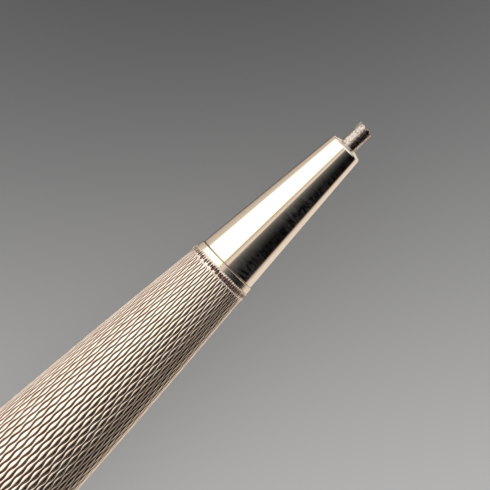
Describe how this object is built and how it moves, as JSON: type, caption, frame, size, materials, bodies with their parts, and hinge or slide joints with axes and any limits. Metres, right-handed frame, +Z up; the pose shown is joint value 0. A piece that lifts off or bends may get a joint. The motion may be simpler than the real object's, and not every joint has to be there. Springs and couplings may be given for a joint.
{
  "type": "mechanical pencil",
  "caption": "Twist-action mechanical pencil with a plain nose cone, an engraved torpedo-shaped metal body, a hinged pocket clip and a pull-off crown over an eraser.",
  "frame": {"origin": "on the desk under the middle of the pencil's bounding box, as it lies on its body and its clip", "axes": "+X along the pencil towards its writing tip, +Z up from the desk; the clip lies on the -Y side"},
  "size_m": [0.1398, 0.0122, 0.0109],
  "materials": {
    "polished_silver": "polished",
    "engraved_silver": "satin",
    "brass": "satin",
    "spring_steel": "satin",
    "graphite": "satin",
    "eraser_rubber": "matte",
    "nylon": "satin"
  },
  "bodies": {
    "barrel": {"nose_cone": "polished_silver", "front_bush": "brass", "barrel_shell": "engraved_silver", "barrel_liner": "brass", "bearing_journal": "brass", "guide_tube": "brass"},
    "feed": {"lead": "graphite", "lead_carrier": "nylon", "follower_pin": "spring_steel"},
    "cap": {"centre_ring": "polished_silver", "cap_shell": "engraved_silver", "cap_liner": "brass", "spiral": "spring_steel", "drive_tube": "brass", "tube_bearing": "nylon", "retaining_collar": "spring_steel", "friction_washer": "spring_steel", "drive_disc": "brass", "magazine_tube": "brass", "magazine_plug": "nylon", "magazine_holder": "nylon", "spare_lead_1": "graphite", "spare_lead_2": "graphite", "spare_lead_3": "graphite", "spare_lead_4": "graphite", "spare_lead_5": "graphite", "clip_collar": "polished_silver", "clip_pin": "spring_steel", "clip_spring": "spring_steel"},
    "clip": {"clip": "polished_silver"},
    "eraser_plug": {"eraser_ferrule": "brass", "eraser": "eraser_rubber"},
    "crown": {"crown": "polished_silver", "crown_disc": "engraved_silver"}
  },
  "joints": [
    {"name": "cap_twist", "type": "hinge", "parent": "barrel", "child": "cap", "pos_m": [0, 0.00061, 0.00547], "axis": [1, 0, 0], "range_deg": [-360, 1980]},
    {"name": "lead_feed", "type": "slide", "parent": "barrel", "child": "feed", "axis": [1, 0, 0], "range_m": [-0.004, 0.022]},
    {"name": "clip_lift", "type": "hinge", "parent": "cap", "child": "clip", "pos_m": [-0.06055, -0.0038, 0.0022], "axis": [0, 0.5952, -0.8036], "range_deg": [0, 6], "stiffness_Nm_per_rad": 0.2, "springref_deg": -8.59},
    {"name": "eraser_pull", "type": "slide", "parent": "cap", "child": "eraser_plug", "axis": [-1, 0, 0], "range_m": [0, 0.016]},
    {"name": "crown_pull", "type": "slide", "parent": "eraser_plug", "child": "crown", "axis": [-1, 0, 0], "range_m": [0, 0.014]}
  ],
  "couplings": [
    {"joint": "lead_feed", "follows": "cap_twist", "m_per_rad": 0.00063662}
  ]
}
